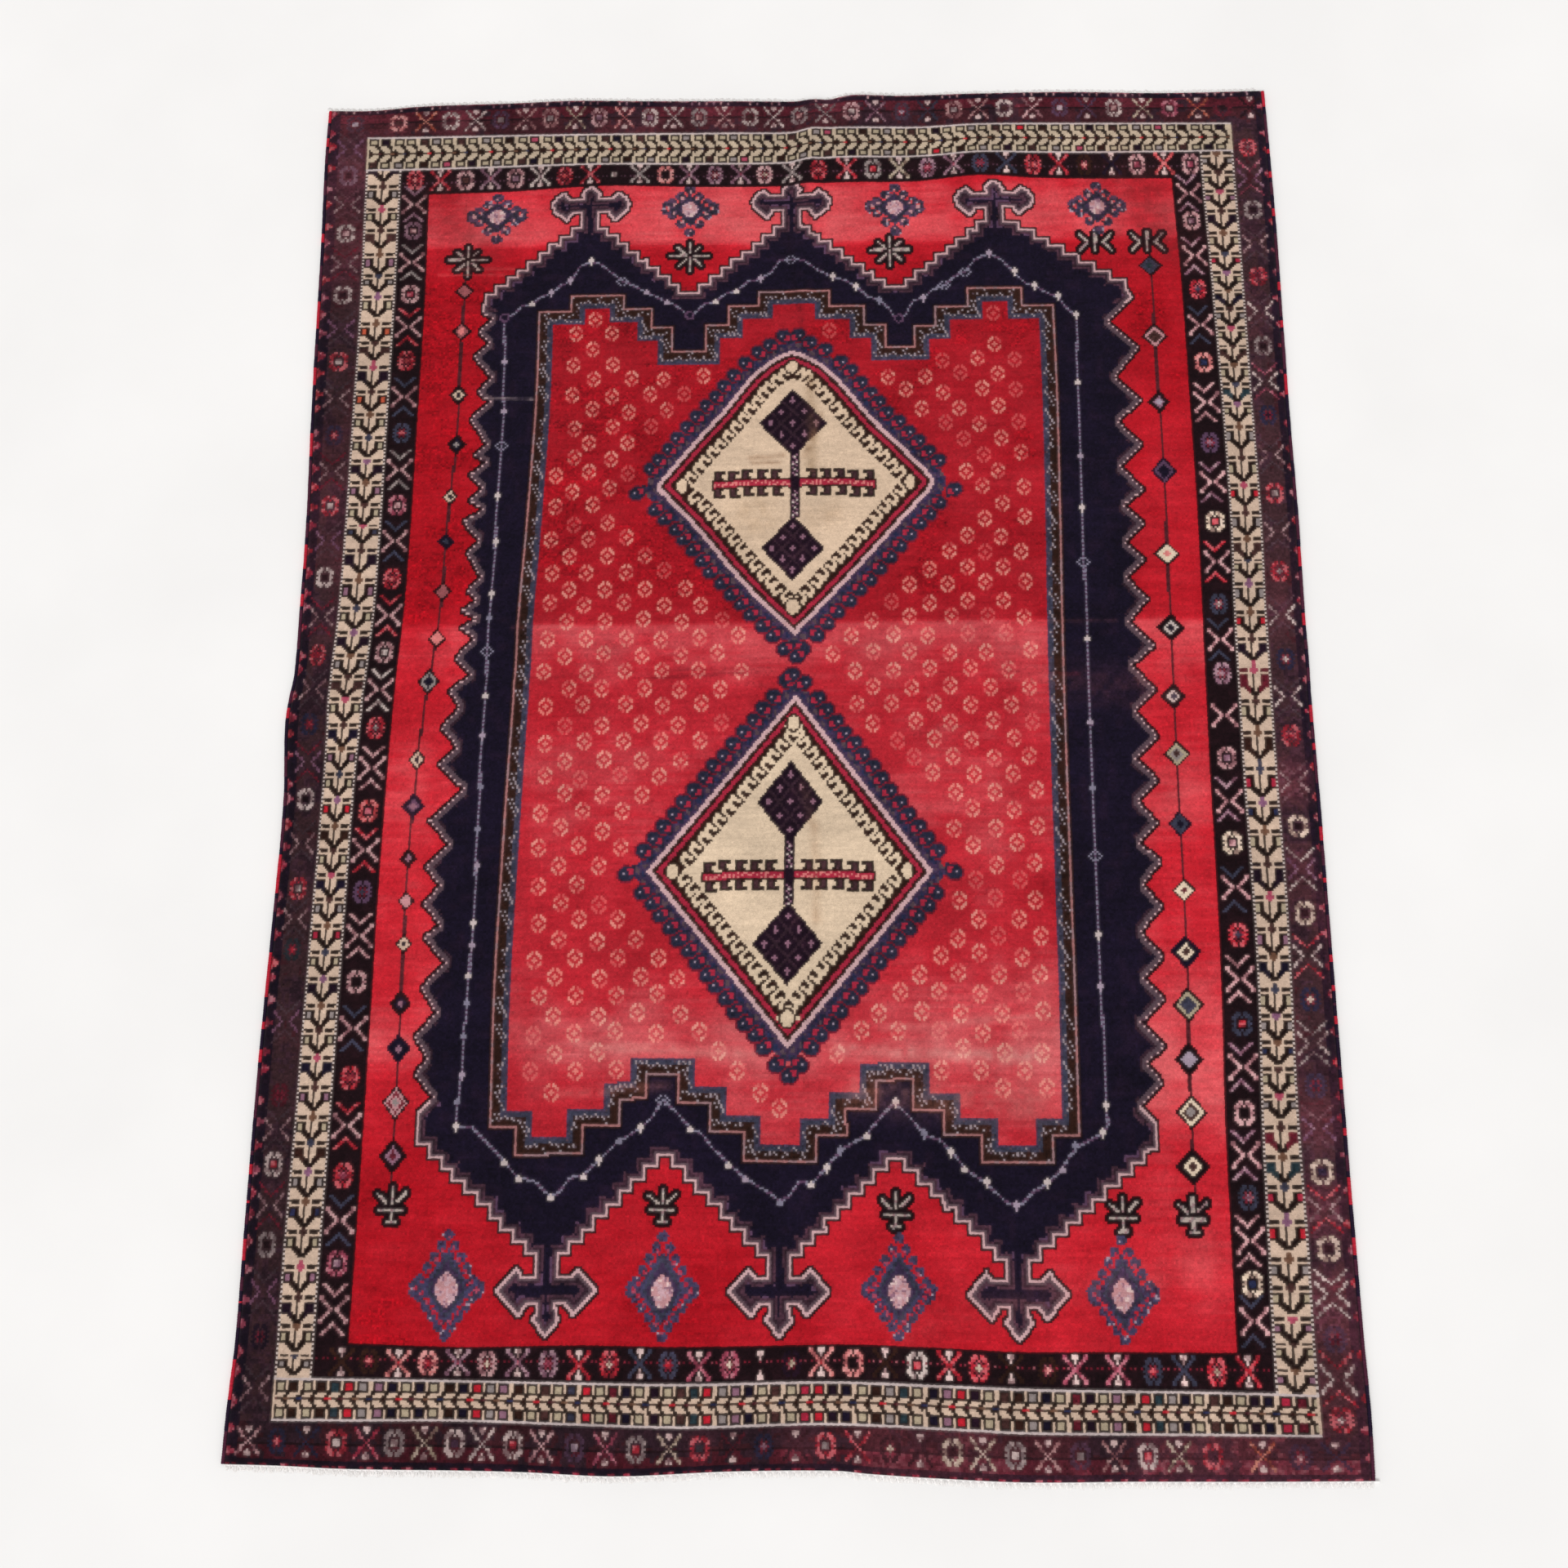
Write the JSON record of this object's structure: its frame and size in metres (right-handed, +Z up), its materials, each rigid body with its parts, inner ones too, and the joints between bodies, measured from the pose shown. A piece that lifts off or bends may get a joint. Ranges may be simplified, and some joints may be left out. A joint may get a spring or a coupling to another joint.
{
  "type": "persian rug",
  "caption": "Hand-knotted wool rug lying flat, with overcast long sides, a short cotton fringe at both ends and a few soft folds in its pile.",
  "frame": {"origin": "middle of the rug's box, on the floor under the rug", "axes": "+X across the rug, +Y along it, +Z up out of the pile"},
  "size_m": [1.5337, 2.1264, 0.0164],
  "materials": {
    "pile": "short wool pile, knotted, worn soft, with abrash bands in the red",
    "edge_wool": "wool yarn wound over the edge cords",
    "cotton": "undyed cotton warp, cropped short"
  },
  "bodies": {
    "root": {"rug_body": "pile", "selvedge_left": "edge_wool", "selvedge_right": "edge_wool", "fringe_top": "cotton", "fringe_bottom": "cotton"}
  },
  "joints": []
}
